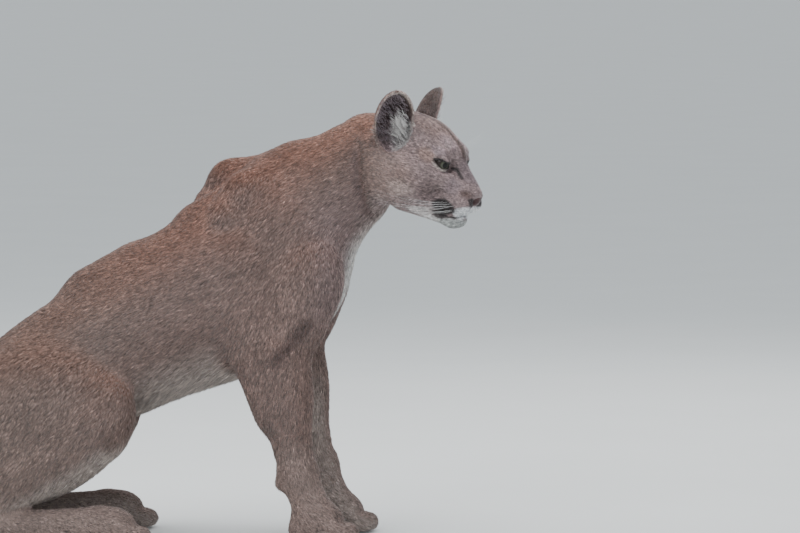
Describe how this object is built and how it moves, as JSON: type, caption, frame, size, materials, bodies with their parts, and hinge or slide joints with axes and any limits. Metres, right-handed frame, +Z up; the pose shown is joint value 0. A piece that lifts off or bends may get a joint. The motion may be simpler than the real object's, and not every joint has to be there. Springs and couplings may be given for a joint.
{
  "type": "cougar",
  "caption": "Tan-brown cougar sitting on its haunches with straight forelegs, head turned a little to its right, tail laid on the floor.",
  "frame": {"origin": "on the floor under the middle of the bounding box", "axes": "+X forward the way the chest faces, +Y to the animal's left, +Z up"},
  "size_m": [1.4904, 0.5012, 0.7729],
  "materials": {
    "coat": "short dense fur",
    "paw": "short dense fur",
    "ear": "short fur, thin inside",
    "tail_end": "dark fur",
    "nose": "damp bare skin",
    "eye": "polished"
  },
  "bodies": {
    "root": {"torso": "coat", "neck": "coat", "head": "coat", "tail_root": "coat", "tail_middle": "coat", "tail_tip": "tail_end", "nose": "nose", "foreleg_left": "coat", "forepaw_left": "paw", "hindleg_left": "coat", "hindfoot_left": "paw", "ear_left": "ear", "eye_left": "eye", "foreleg_right": "coat", "forepaw_right": "paw", "hindleg_right": "coat", "hindfoot_right": "paw", "ear_right": "ear", "eye_right": "eye"}
  },
  "joints": []
}
